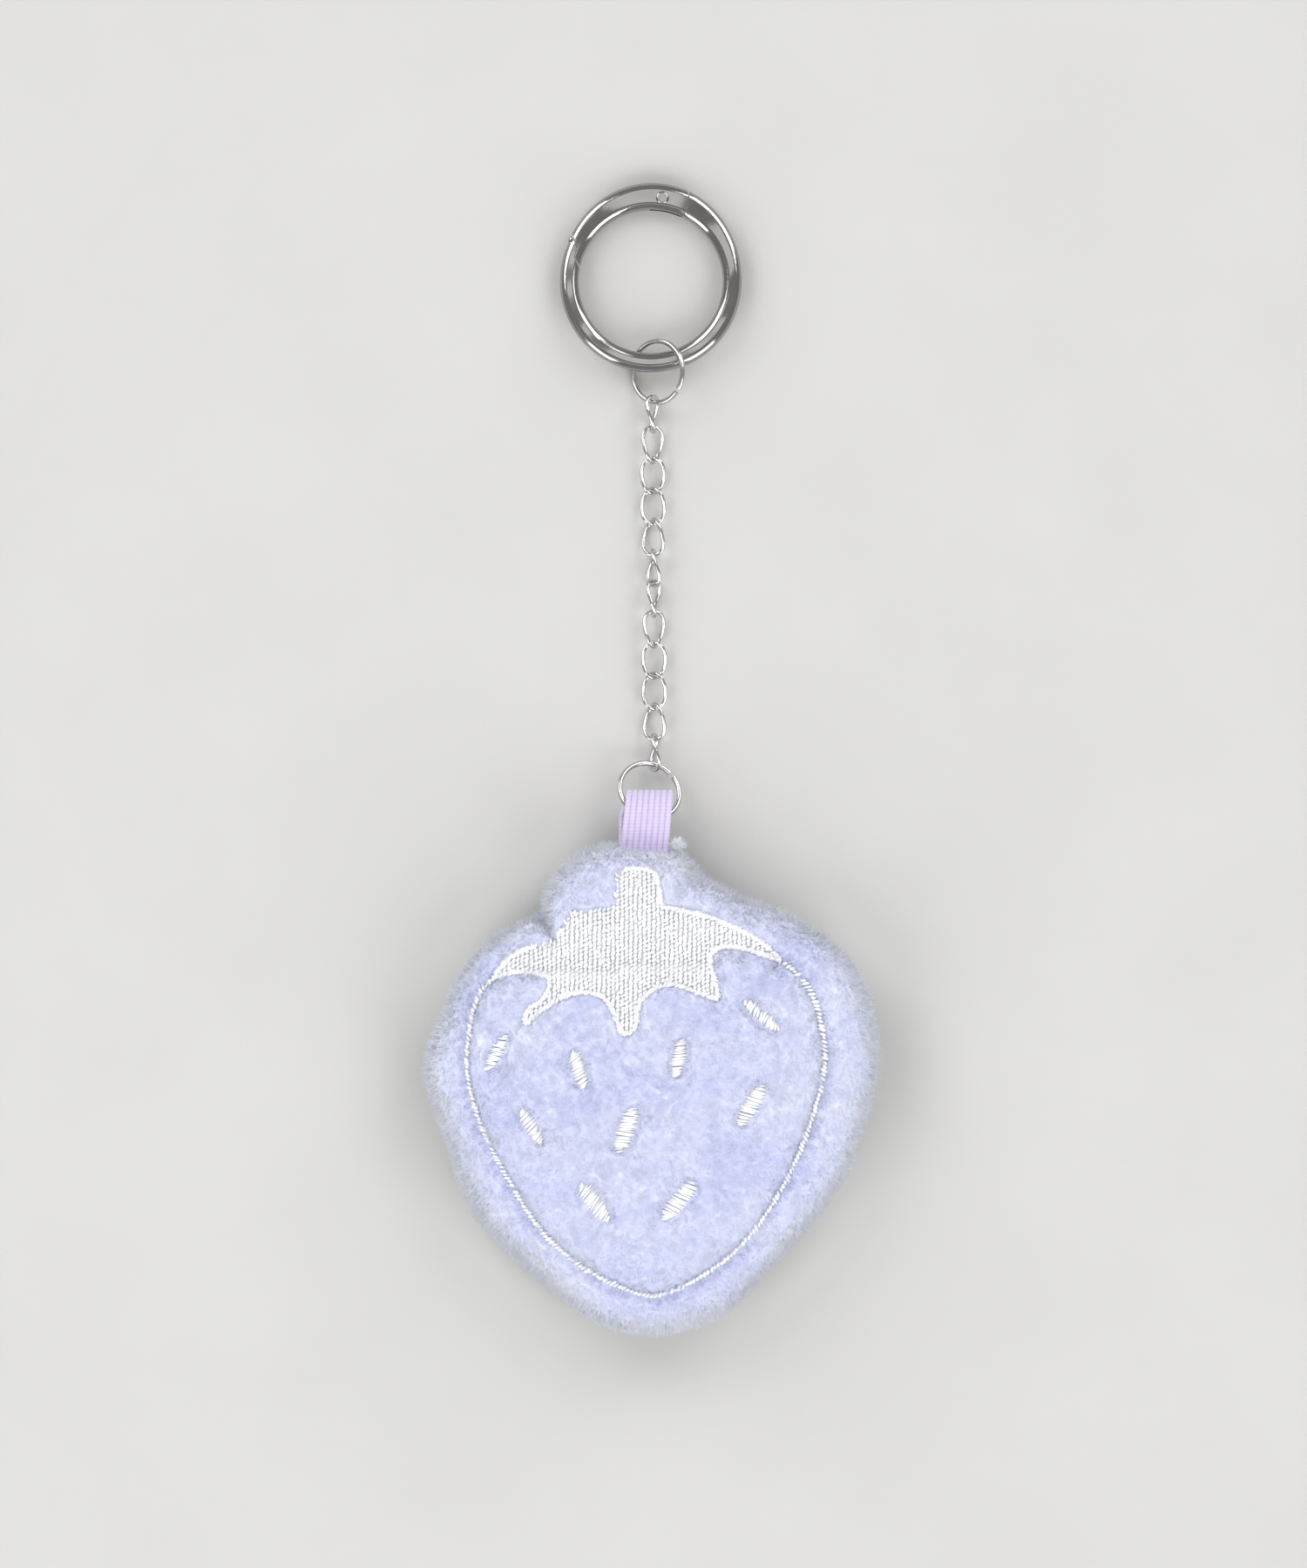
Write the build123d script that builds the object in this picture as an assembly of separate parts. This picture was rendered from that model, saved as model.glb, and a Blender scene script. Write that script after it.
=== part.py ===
from build123d import *
import os
from math import cos, hypot, pi, radians, sin, sqrt

# A stuffed strawberry keychain, lying on its back on a table, in millimetres.
# +Z is up, off the table. +Y runs from the berry along the chain to the gate ring, and X is across.
# The origin is the middle of the whole keychain's outline, on the table.
#
# From the berry upwards: a stuffed body of two plush panels with an embroidered leaf, outline and seeds,
# an elastic loop sewn into its seam, a jump ring, twelve twisted curb links, a second jump ring,
# and a hinged ring whose gate a small spring keeps shut.

# ---------------------------------------------------------------- driving dimensions
# Gate ring
RING_CENTRE = (0.0, 70.2)       # the eye's centre, over the table
RING_EYE_R = 10.6               # inside radius of the eye
RING_WIRE_HALF = 1.4            # half the bar's radial width, away from the hinge
RING_WIRE_SWELL = 0.6           # added to it where the bar is widest
RING_BAR_HALF_Z = 1.5           # half the bar's height
RING_BAR_ROUND = 1.05           # rounding of the bar's four long edges
RING_SWELL_MID = 85.0           # degrees round from +X, where the bar is widest
RING_SWELL_SPAN = 85.0
RING_TILT = 3.4                 # the ring leans on the jump ring below it
RING_NEAR_Z = 3.16              # height of the bar's middle where the jump ring holds it

# Gate, hinge and spring
HINGE_ANGLE = 82.0
HINGE_R = 12.4
GATE_SPLIT_R = 3.9              # the gate's heel and the ring's end are arcs about the pin
GATE_GAP = 0.085
GATE_END_ANGLE = 172.0
TIP_KNOB = (-11.45, 6.0)         # the rounded end of the ring, just outside the gate's nose
TIP_KNOB_R = 0.7
TIP_KNOB_HALF_Z = 1.35
TONGUE_HALF_Z = 0.6
SLOT_HALF_Z = 0.7
TONGUE_CAM = 1.41               # half side of the square cam end
CHAMBER_LEAN = 14.0             # the spring chamber follows the curved bar
CHAMBER_R = 0.75
CHAMBER_START = 2.05
CHAMBER_END = 6.1
PIN_R = 0.6
PIN_HEAD_R = 0.95
PIN_HEAD_H = 0.35
PLUNGER_R = 0.68
PLUNGER_LENGTH = 1.25
PLUNGER_GAP = 0.05
SPRING_COIL_R = 0.5
SPRING_WIRE_R = 0.09
SPRING_PITCH = 0.42
SPRING_TURNS = 6

# Jump rings
JUMP_R = 4.55                   # centre line radius
JUMP_WIRE_R = 0.39
UPPER_CENTRE = (1.0, 56.9, 3.16)
UPPER_ROLL = 36.0
UPPER_GAP_ANGLE = -38.0
UPPER_HOOK_ANGLE = -102.0       # where the first link hangs on it
LOWER_ROLL = -16.0
LOWER_PITCH = -27.0
LOWER_GAP_ANGLE = 42.0
LOWER_HOOK_ANGLE = 80.0
JUMP_GAP_DEG = 9.0

# Chain: one angle a link about the chain's line, and the height of each crossing of two links
LINK_WIRE_R = 0.29
LINK_HALF_WIDTH = 1.65          # of the centre line
LINK_LENGTH = 5.24              # of the centre line, bow to bow
LINK_SQUARE = 0.06              # how much fuller than an ellipse its bows are
LINK_TWIST = 64.0
LINK_PLAY = 0.12
RING_PLAY = 0.16
LINK_ANGLES = (-76, -40, -12, 8, 36, 72, 108, 142, 172, 190, 214, 262)
CROSSING_Z = (2.0, 1.7, 1.4, 1.5, 1.9, 2.05, 2.05, 1.9, 1.6, 1.45, 1.75, 2.15)
CHAIN_DRIFT_X = 0.03            # sideways, each link

# Elastic loop
ELASTIC_WIDTH = 6.4
ELASTIC_THICK = 0.8
ELASTIC_X = -0.15
SEAM_Y = -12.3                  # the berry's edge where the elastic comes out
LOOP_SLOT_R = 2.15
LOOP_ARC_SHARE = 0.7            # how far above the jump ring's lowest point the loop's middle lies
LOOP_BASE = 0.9                 # the two layers lie flat together this far out of the seam
TAIL_LENGTH = 7.0               # sewn in, inside the seam

# Berry
BERRY_HEIGHT = 17.0
SEAM_Z = 8.0
FILL_GAP = 0.15
STITCH_HEIGHT = 0.5
BACKING_THICK = 0.3
OUTLINE_WIDTH = 0.9
# Corner points of the berry's edge, clockwise from the elastic
BERRY_EDGE = (
    (-0.3, -12.3), (4.5, -13.6), (8.6, -17.3), (13.9, -20.2), (20.0, -22.0), (26.4, -26.8),
    (31.4, -33.8), (33.2, -43.0), (31.4, -52.8), (27.6, -62.6), (21.4, -71.0), (12.0, -80.4),
    (0.0, -84.8), (-11.6, -81.2), (-22.4, -71.2), (-29.6, -59.4), (-33.2, -45.6), (-30.4, -35.4),
    (-25.4, -27.8), (-18.4, -23.6), (-14.6, -18.6), (-8.6, -13.2),
)
# Height over the table and how far the wall there stands in from the edge
BERRY_PROFILE = (
    (0.0, 4.4), (0.8, 2.7), (2.6, 1.1), (5.2, 0.25), (8.0, 0.0),
    (11.2, 0.25), (14.0, 1.1), (16.2, 2.4), (17.0, 3.6),
)
FILL_PROFILE = (
    (1.4, 5.2), (3.2, 3.0), (5.6, 2.0), (8.0, 1.8), (10.6, 2.0), (13.2, 2.9), (15.0, 4.8),
)
# The embroidered line round the berry, from the leaf's right tip down and round to its left tip
OUTLINE_POINTS = (
    (20.0, -30.3), (23.4, -34.6), (25.3, -43.7), (23.4, -52.2), (19.4, -62.4), (12.6, -72.2),
    (0.0, -78.5), (-9.8, -74.1), (-17.6, -65.8), (-24.0, -55.4), (-26.7, -44.8), (-25.8, -36.2),
    (-23.9, -33.2),
)
# Corners of the embroidered leaf, from the stalk's top left, clockwise
LEAF_POINTS = (
    (-4.9, -16.9), (0.8, -16.9), (1.4, -21.5), (10.8, -24.4), (18.9, -28.8), (12.9, -27.8),
    (8.8, -29.0), (9.7, -34.8), (5.2, -33.3), (0.6, -33.2), (-1.7, -36.0), (-3.6, -40.3),
    (-5.8, -36.8), (-9.6, -34.2), (-13.4, -34.9), (-18.3, -38.8), (-15.4, -33.2), (-16.8, -31.6),
    (-23.2, -31.8), (-18.0, -28.0), (-13.7, -26.8), (-11.8, -23.8), (-5.6, -21.7),
)
# Middle, length, width and lean of each embroidered seed
SEEDS = (
    (-22.4, -43.1, 6.3, 2.3, 71), (-10.6, -45.5, 5.9, 2.6, 108), (4.0, -43.7, 5.8, 2.6, 80),
    (16.0, -37.6, 6.2, 2.3, 138), (14.6, -50.5, 7.0, 3.1, 62), (-17.5, -53.7, 6.0, 2.3, 121),
    (-3.6, -54.0, 6.8, 2.8, 72), (-8.2, -65.1, 6.6, 2.8, 129), (4.1, -64.4, 7.2, 3.1, 52),
)


# ---------------------------------------------------------------- frames
def along(point, direction, distance):
    """The point that far along the direction."""
    return Vector(*point) + Vector(*direction).normalized() * distance


def ring_frame():
    """The gate ring's own frame: origin at the eye's centre, Z through the eye, Y away from the berry."""
    lean = radians(RING_TILT)
    to_bar = RING_EYE_R + RING_WIRE_HALF
    centre_z = RING_NEAR_Z - to_bar * sin(lean)
    return Plane(
        origin=(*RING_CENTRE, centre_z),
        x_dir=(1, 0, 0),
        z_dir=(0, sin(lean), cos(lean)),
    )


def hinge_point():
    """The hinge pin's middle, in the gate ring's frame."""
    a = radians(HINGE_ANGLE)
    return Vector(HINGE_R * cos(a), HINGE_R * sin(a), 0)


def chamber_direction():
    """The way the spring chamber runs from the pin, in the gate ring's frame."""
    a = radians(HINGE_ANGLE + 90 + CHAMBER_LEAN)
    return Vector(cos(a), sin(a), 0)


def jump_frame(centre, pitch, roll):
    """A jump ring's frame, rolled about its own Y and then pitched about X, with Y towards the gate ring."""
    p, r = radians(pitch), radians(roll)
    x_dir = Vector(cos(r), -sin(r) * sin(p), sin(r) * cos(p))
    y_dir = Vector(0, cos(p), sin(p))
    z_dir = x_dir.cross(y_dir)
    return Plane(origin=centre, x_dir=x_dir, z_dir=z_dir)


def on_jump(frame, angle):
    """The centre line's point at that angle, and the wire's direction there."""
    a = radians(angle)
    point = frame.from_local_coords(Vector(JUMP_R * cos(a), JUMP_R * sin(a), 0))
    ahead = frame.from_local_coords(Vector(-sin(a), cos(a), 0)) - frame.origin
    return point, ahead


def chain_layout():
    """For each link from the gate ring down: its frame (Y towards the gate ring), and its two bows' centres."""
    upper = jump_frame(UPPER_CENTRE, 0, UPPER_ROLL)
    crossing, _ = on_jump(upper, UPPER_HOOK_ANGLE)
    ring_step = JUMP_WIRE_R + LINK_WIRE_R + RING_PLAY
    link_step = 2 * LINK_WIRE_R + LINK_PLAY
    links = []
    last = len(LINK_ANGLES) - 1
    for i, (angle, z) in enumerate(zip(LINK_ANGLES, CROSSING_Z)):
        above = ring_step if i == 0 else link_step / 2
        below = ring_step if i == last else link_step / 2
        pitch = LINK_LENGTH - above - below
        dz = crossing.Z - z
        dy = sqrt(pitch**2 - dz**2 - CHAIN_DRIFT_X**2)
        up = Vector(-CHAIN_DRIFT_X, dy, dz).normalized()
        next_crossing = crossing - up * pitch
        top = crossing + up * above
        bottom = next_crossing - up * below
        a = radians(angle)
        flat = Vector(cos(a), 0, sin(a))
        x_dir = (flat - up * flat.dot(up)).normalized()
        frame = Plane(origin=(top + bottom) / 2, x_dir=x_dir, z_dir=x_dir.cross(up))
        links.append({"frame": frame, "top": top, "bottom": bottom, "up": up})
        crossing = next_crossing
    return links, crossing


def lower_jump_frame():
    """The lower jump ring's frame: it hangs on the chain's last crossing."""
    _, crossing = chain_layout()
    at_origin = jump_frame((0, 0, 0), LOWER_PITCH, LOWER_ROLL)
    hook, _ = on_jump(at_origin, LOWER_HOOK_ANGLE)
    return jump_frame(crossing - hook, LOWER_PITCH, LOWER_ROLL)


def loop_middle():
    """The middle of the elastic loop's eye, where the lower jump ring's lowest arc lies."""
    frame = lower_jump_frame()
    return frame.from_local_coords(Vector(0, LOOP_ARC_SHARE - JUMP_R, 0))


def seam_exit():
    """Where the elastic leaves the berry's seam, at the elastic's middle."""
    return Vector(ELASTIC_X, SEAM_Y, SEAM_Z)


# ---------------------------------------------------------------- gate ring
def swell(angle):
    """How far the bar has widened at that angle, from 0 to 1."""
    off = min(abs(angle - RING_SWELL_MID), RING_SWELL_SPAN) / RING_SWELL_SPAN
    return cos(off * pi / 2) ** 2


def bar_section(angle, share=None):
    """The bar's flattened round section at that angle round the eye."""
    share = swell(angle) if share is None else share
    half = RING_WIRE_HALF + RING_WIRE_SWELL * share
    a = radians(angle)
    r = RING_EYE_R + half
    plane = Plane(
        origin=(r * cos(a), r * sin(a), 0),
        x_dir=(cos(a), sin(a), 0),
        z_dir=(-sin(a), cos(a), 0),
    )
    return plane * RectangleRounded(2 * half, 2 * RING_BAR_HALF_Z, RING_BAR_ROUND)


def bar_loft(start, end, steps):
    """The bar from one angle to another."""
    angles = [start + (end - start) * i / steps for i in range(steps + 1)]
    return loft([bar_section(a) for a in angles])


def gate_side():
    """Everything on the gate's side of the slanted joint between the gate's nose and the ring's tip."""
    joint = ((-12.7, 10.2), (-11.55, 6.7), (-10.85, 5.0), (-11.25, 3.6), (-10.7, 2.5), (-9.6, 0.4))
    corners = Polyline(*joint, (20, 0.4), (20, 20), (-12.7, 20), close=True)
    return extrude(make_face(corners), 5, both=True)


def at_hinge(radius, height):
    """An upright cylinder about the hinge pin."""
    return Pos(hinge_point()) * Cylinder(radius, height)


def chamber_frame():
    """Origin at the pin, Z along the spring chamber."""
    return Plane(origin=hinge_point(), x_dir=(0, 0, 1), z_dir=chamber_direction())


def chamber_rod(radius, start, end):
    """A round rod in the spring chamber's line."""
    frame = chamber_frame()
    middle = Plane(origin=along(frame.origin, frame.z_dir, (start + end) / 2), x_dir=frame.x_dir, z_dir=frame.z_dir)
    return middle * Cylinder(radius, end - start)


def hinge_tongue():
    """The ring's flat tongue between the gate's ears, with the square cam end that the plunger bears on."""
    inner, outer = RING_EYE_R + 0.45, RING_EYE_R + 3.15
    ring = Circle(outer) - Circle(inner)
    reach = 2 * outer
    lo, hi = radians(50), radians(HINGE_ANGLE)
    wedge = make_face(
        Polyline((0, 0), (reach * cos(lo), reach * sin(lo)), (reach * cos(hi), reach * sin(hi)), close=True)
    )
    neck = extrude(ring & wedge, TONGUE_HALF_Z, both=True)
    direction = chamber_direction()
    turned = Plane(origin=hinge_point(), x_dir=direction, z_dir=(0, 0, 1))
    head = turned * Box(2 * TONGUE_CAM, 2 * TONGUE_CAM, 2 * TONGUE_HALF_Z)
    return neck + head


def make_ring_body():
    start = 148.0
    section = bar_section(start, share=0)
    lower = revolve(section, axis=Axis.Z, revolution_arc=360 - start)
    swelling = bar_loft(0, 75, 8)
    end = swelling - at_hinge(GATE_SPLIT_R + GATE_GAP, 10)
    tip_gap = Pos(-GATE_GAP, -GATE_GAP, 0) * gate_side()
    knob = Cylinder(TIP_KNOB_R, 2 * TIP_KNOB_HALF_Z)
    knob = Pos(*TIP_KNOB, 0) * fillet(knob.edges(), TIP_KNOB_R * 0.6)
    body = (lower + knob - tip_gap) + end + hinge_tongue()
    body -= at_hinge(PIN_R, 10)
    return body


def make_gate():
    blank = bar_loft(52, GATE_END_ANGLE, 12)
    a = radians(HINGE_ANGLE)
    size = 60
    past_pin = Plane(origin=hinge_point(), x_dir=(-sin(a), cos(a), 0), z_dir=(0, 0, 1))
    left = blank & (past_pin * Pos(size / 2, 0, 0) * Box(size, size, size))
    heel = blank & at_hinge(GATE_SPLIT_R - GATE_GAP, 10)
    gate = (left + heel) & (Pos(GATE_GAP, GATE_GAP, 0) * gate_side())
    turned = Plane(origin=hinge_point(), x_dir=chamber_direction(), z_dir=(0, 0, 1))
    slot_length = CHAMBER_START + GATE_SPLIT_R + 1
    slot = turned * Pos(CHAMBER_START - slot_length / 2, 0, 0) * Box(slot_length, 12, 2 * SLOT_HALF_Z)
    gate -= slot
    gate -= chamber_rod(CHAMBER_R, 1, CHAMBER_END)
    gate -= at_hinge(PIN_R + GATE_GAP, 10)
    head_seat = Pos(0, 0, -RING_BAR_HALF_Z + PIN_HEAD_H / 2) * at_hinge(PIN_HEAD_R + GATE_GAP, PIN_HEAD_H + 0.1)
    return gate - head_seat


def make_pin():
    """The rivet: a domed head on top, and a peened head let into the gate's underside."""
    shaft = at_hinge(PIN_R, 2 * RING_BAR_HALF_Z)
    top = Pos(0, 0, RING_BAR_HALF_Z + 0.03 + PIN_HEAD_H / 2) * at_hinge(PIN_HEAD_R, PIN_HEAD_H)
    top = fillet(top.edges().sort_by(Axis.Z)[-1], PIN_HEAD_H * 0.8)
    neck = Pos(0, 0, RING_BAR_HALF_Z) * at_hinge(PIN_R, 0.1)
    foot_h = PIN_HEAD_H - 0.05
    foot = Pos(0, 0, -RING_BAR_HALF_Z + foot_h / 2) * at_hinge(PIN_HEAD_R, foot_h)
    return shaft + top + neck + foot


def make_plunger():
    start = TONGUE_CAM + PLUNGER_GAP
    return chamber_rod(PLUNGER_R, start, start + PLUNGER_LENGTH)


def make_spring():
    start = TONGUE_CAM + PLUNGER_GAP + PLUNGER_LENGTH + 2 * SPRING_WIRE_R
    frame = chamber_frame()
    base = Plane(origin=along(frame.origin, frame.z_dir, start), x_dir=frame.x_dir, z_dir=frame.z_dir)
    helix = Helix(pitch=SPRING_PITCH, height=SPRING_PITCH * SPRING_TURNS, radius=SPRING_COIL_R)
    profile = Plane(origin=helix @ 0, z_dir=helix % 0) * Circle(SPRING_WIRE_R)
    return base * sweep(profile, path=helix)


# ---------------------------------------------------------------- rings and links
def make_jump_ring(frame, gap_angle):
    """A cut ring of round wire."""
    a = radians(gap_angle + JUMP_GAP_DEG / 2)
    section = Plane(
        origin=(JUMP_R * cos(a), JUMP_R * sin(a), 0),
        x_dir=(cos(a), sin(a), 0),
        z_dir=(-sin(a), cos(a), 0),
    ) * Circle(JUMP_WIRE_R)
    return frame * revolve(section, axis=Axis.Z, revolution_arc=360 - JUMP_GAP_DEG)


def link_point(turn):
    """A point of a link's centre line, at a turn from 0 to 1, with the link along Y and untwisted at its middle."""
    a = 2 * pi * turn
    x = LINK_HALF_WIDTH * (cos(a) - LINK_SQUARE * cos(3 * a)) / (1 - LINK_SQUARE)
    y = LINK_LENGTH / 2 * sin(a)
    twist = radians(LINK_TWIST) * y / LINK_LENGTH
    return Vector(x * cos(twist), y, x * sin(twist))


def make_link():
    """One curb link: a loop of wire, twisted a quarter turn from bow to bow."""
    halves = []
    steps = 8
    for first in (0.0, 0.5):
        points = [link_point(first + 0.5 * i / steps) for i in range(steps + 1)]
        d = 1e-4
        tangents = [(link_point(t + d) - link_point(t - d)).normalized() for t in (first, first + 0.5)]
        path = Spline(*points, tangents=tangents)
        profile = Plane(origin=path @ 0, z_dir=path % 0) * Circle(LINK_WIRE_R)
        halves.append(sweep(profile, path=path))
    return halves[0] + halves[1]


# ---------------------------------------------------------------- elastic
def loop_frame():
    """Origin at the loop's middle, X back towards the seam, Z across the keychain's X."""
    middle = loop_middle()
    middle = Vector(ELASTIC_X, middle.Y, middle.Z)
    back = seam_exit() - middle
    return Plane(origin=middle, x_dir=back, z_dir=(-1, 0, 0))


def teardrop(round_r, point_r, reach):
    """The hull of a circle at the origin and a smaller one at that reach along X."""
    return make_face(make_hull(Circle(round_r).edges() + (Pos(reach, 0) * Circle(point_r)).edges()))


def make_elastic_tails(clearance=0.0):
    """The strip's two ends, one on the other, from just outside the seam to inside the berry."""
    size = (ELASTIC_WIDTH + 2 * clearance, LOOP_BASE + TAIL_LENGTH, 2 * (ELASTIC_THICK + clearance))
    middle_y = SEAM_Y + (LOOP_BASE - TAIL_LENGTH) / 2 - clearance
    return Pos(ELASTIC_X, middle_y, SEAM_Z) * Box(*size)


def make_elastic_loop():
    """One strip of flat elastic, folded round the jump ring, with its ends together in the seam."""
    frame = loop_frame()
    reach = (seam_exit() - frame.origin).length - LOOP_BASE
    outer = teardrop(LOOP_SLOT_R + ELASTIC_THICK, ELASTIC_THICK, reach)
    slot = teardrop(LOOP_SLOT_R, 0.1, reach - 1.2)
    return frame * extrude(outer - slot, ELASTIC_WIDTH / 2, both=True) + make_elastic_tails()


# ---------------------------------------------------------------- berry
def inset(points, distance):
    """The points of a closed, clockwise outline moved inwards, square to the line through their neighbours."""
    moved = []
    for i, (x, y) in enumerate(points):
        bx, by = points[i - 1]
        ax, ay = points[(i + 1) % len(points)]
        run = hypot(ax - bx, ay - by)
        moved.append((x + (ay - by) / run * distance, y - (ax - bx) / run * distance))
    return moved


def berry_section(z, distance):
    """The berry's outline at a height, set in from its edge."""
    points = inset(BERRY_EDGE, distance)
    return Plane.XY.offset(z) * make_face(Spline(*points, periodic=True))


def berry_solid(profile):
    return loft([berry_section(z, d) for z, d in profile])


def slab(low, high):
    return Pos(0, -48, (low + high) / 2) * Box(100, 100, high - low)


def make_panels():
    """The front and back plush panels, which meet at the seam."""
    tails = make_elastic_tails(clearance=0.05)
    thread = make_seam_thread(clearance=0.03)
    hollow = berry_solid(FILL_PROFILE)
    shell = berry_solid(BERRY_PROFILE) - hollow
    shell -= tails
    shell -= thread
    backing = make_backing(clearance=0.03)
    front = (shell & slab(SEAM_Z, BERRY_HEIGHT + 1)) - backing
    back = shell & slab(-1, SEAM_Z)
    return front, back


def make_filling():
    return berry_solid(FILL_PROFILE) - make_elastic_tails(clearance=0.3)


def make_seam_thread(clearance=0.0):
    """The lockstitch that joins the panels, as one closed thread in the seam."""
    middle, half = 0.9, 0.15 + clearance
    ring = make_face(Spline(*inset(BERRY_EDGE, middle - half), periodic=True)) - make_face(
        Spline(*inset(BERRY_EDGE, middle + half), periodic=True)
    )
    band = Pos(0, 0, SEAM_Z) * extrude(ring, half, both=True)
    return band - make_elastic_tails(clearance=0.3)


def make_backing(clearance=0.0):
    """The embroidery's stiff backing sheet, just under the front panel's top."""
    face = make_face(Spline(*inset(BERRY_EDGE, 6.6 - clearance), periodic=True))
    low = FILL_PROFILE[-1][0] + FILL_GAP - clearance
    return Pos(0, 0, low) * extrude(face, BACKING_THICK + 2 * clearance)


def leaf_face():
    return make_face(Polyline(*LEAF_POINTS, close=True))


def make_outline():
    line = Spline(*OUTLINE_POINTS)
    band = trace(line, OUTLINE_WIDTH)
    return Pos(0, 0, BERRY_HEIGHT) * extrude(band - leaf_face(), STITCH_HEIGHT)


def make_leaf():
    return Pos(0, 0, BERRY_HEIGHT) * extrude(leaf_face(), STITCH_HEIGHT)


def make_seed(x, y, length, width, lean):
    seed = extrude(Ellipse(length / 2, width / 2), STITCH_HEIGHT)
    return Pos(x, y, BERRY_HEIGHT) * Rot(0, 0, lean) * seed


# ---------------------------------------------------------------- assembly
def build_nodes():
    """Every node's name and its solid, in place."""
    ring = ring_frame()
    nodes = {
        "gate_ring_body": ring * make_ring_body(),
        "gate": ring * make_gate(),
        "gate_hinge_pin": ring * make_pin(),
        "gate_plunger": ring * make_plunger(),
        "gate_spring": ring * make_spring(),
        "upper_jump_ring": make_jump_ring(jump_frame(UPPER_CENTRE, 0, UPPER_ROLL), UPPER_GAP_ANGLE),
        "lower_jump_ring": make_jump_ring(lower_jump_frame(), LOWER_GAP_ANGLE),
        "elastic_loop": make_elastic_loop(),
        "stuffing": make_filling(),
        "seam_thread": make_seam_thread(),
        "embroidery_backing": make_backing(),
        "leaf_embroidery": make_leaf(),
        "outline_embroidery": make_outline(),
    }
    nodes["front_panel"], nodes["back_panel"] = make_panels()
    link = make_link()
    for number, placed in enumerate(chain_layout()[0], start=1):
        nodes[f"chain_link_{number:02d}"] = placed["frame"] * link
    for number, seed in enumerate(SEEDS, start=1):
        nodes[f"seed_embroidery_{number}"] = make_seed(*seed)
    return nodes


def main():
    os.makedirs("parts", exist_ok=True)
    for name, solid in build_nodes().items():
        export_step(solid, f"parts/{name}.step")


if __name__ == "__main__":
    main()
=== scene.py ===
import math

import bmesh
import bpy
import numpy as np
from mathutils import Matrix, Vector, noise
from mathutils.bvhtree import BVHTree
from mathutils.geometry import delaunay_2d_cdt


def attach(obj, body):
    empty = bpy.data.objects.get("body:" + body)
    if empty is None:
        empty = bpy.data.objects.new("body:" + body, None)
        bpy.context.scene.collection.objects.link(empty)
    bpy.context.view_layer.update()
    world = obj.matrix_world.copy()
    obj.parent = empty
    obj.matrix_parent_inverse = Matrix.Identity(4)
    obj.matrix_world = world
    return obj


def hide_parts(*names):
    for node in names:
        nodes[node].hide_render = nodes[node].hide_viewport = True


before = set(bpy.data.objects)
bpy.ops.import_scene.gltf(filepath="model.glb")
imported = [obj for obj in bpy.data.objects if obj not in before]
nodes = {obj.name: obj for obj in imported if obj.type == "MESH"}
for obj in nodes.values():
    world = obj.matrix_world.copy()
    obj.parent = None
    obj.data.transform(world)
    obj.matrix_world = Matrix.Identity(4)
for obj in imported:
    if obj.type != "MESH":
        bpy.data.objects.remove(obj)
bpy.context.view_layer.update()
rng = np.random.default_rng(7)

# Shapes are worked out in millimetres in the CAD's frame and scaled as each mesh is made.
MM = 0.001
SEAM_Z = 8.0
SEAM_STITCH = 2.3
ELASTIC_X = -0.15
ELASTIC_WIDTH = 7.05
ELASTIC_RIBS = 8
CLOTH_THICK = 0.7
FRONT_FIBRES = 84000
BACK_FIBRES = 60000

BERRY_EDGE = (
    (-4.6, -12.3), (-0.3, -12.3), (4.5, -13.6), (8.6, -17.3), (13.9, -20.2), (20.0, -22.6), (26.4, -26.8),
    (31.2, -33.0), (33.2, -42.6), (31.6, -52.6), (27.4, -62.6), (20.8, -71.2), (12.0, -80.4), (5.8, -83.7),
    (0.0, -84.7), (-6.2, -83.8), (-12.6, -80.2), (-22.0, -72.2), (-27.6, -64.6), (-30.4, -56.4),
    (-33.2, -46.6), (-32.6, -41.8), (-30.6, -37.2), (-28.2, -31.6), (-24.4, -27.2), (-19.4, -23.9),
    (-16.4, -22.2), (-15.4, -19.0), (-12.6, -15.4), (-9.0, -12.9),
)
OUTLINE = (
    (18.6, -29.4), (21.1, -31.2), (23.4, -34.2), (24.8, -38.4), (25.4, -44.6), (23.8, -51.8), (20.8, -59.6),
    (16.4, -67.2), (11.4, -72.8), (5.2, -76.9), (0.2, -78.5), (-4.8, -77.1), (-10.6, -73.9), (-15.6, -69.4),
    (-20.2, -62.6), (-24.4, -54.6), (-26.6, -47.4), (-26.8, -42.4), (-25.8, -36.6), (-24.6, -33.8),
    (-22.6, -32.0),
)
LEAF = (
    (-4.8, -16.6), (-2.3, -16.2), (0.4, -16.7), (1.2, -19.2), (1.7, -21.6), (3.4, -22.0), (8.7, -23.3),
    (13.9, -25.6), (17.0, -27.6), (18.9, -29.5), (16.2, -28.6), (13.6, -27.8), (10.7, -27.6), (9.0, -28.5),
    (8.8, -30.3), (9.8, -34.8), (7.9, -34.6), (5.0, -33.5), (2.6, -33.0), (0.0, -34.0), (-1.6, -35.8),
    (-2.1, -38.7), (-3.2, -40.2), (-4.4, -39.8), (-5.2, -37.7), (-6.5, -35.3), (-8.6, -34.3),
    (-11.0, -34.3), (-13.6, -35.3), (-16.4, -37.2), (-18.3, -38.7), (-17.9, -36.8), (-15.8, -35.2),
    (-14.9, -33.6), (-15.0, -31.9), (-17.5, -31.4), (-20.1, -31.3), (-22.9, -32.1), (-21.2, -29.8),
    (-18.6, -28.0), (-14.8, -26.9), (-12.8, -24.6), (-11.4, -22.6), (-7.8, -22.2), (-5.8, -21.4),
    (-5.0, -19.2),
)
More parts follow.
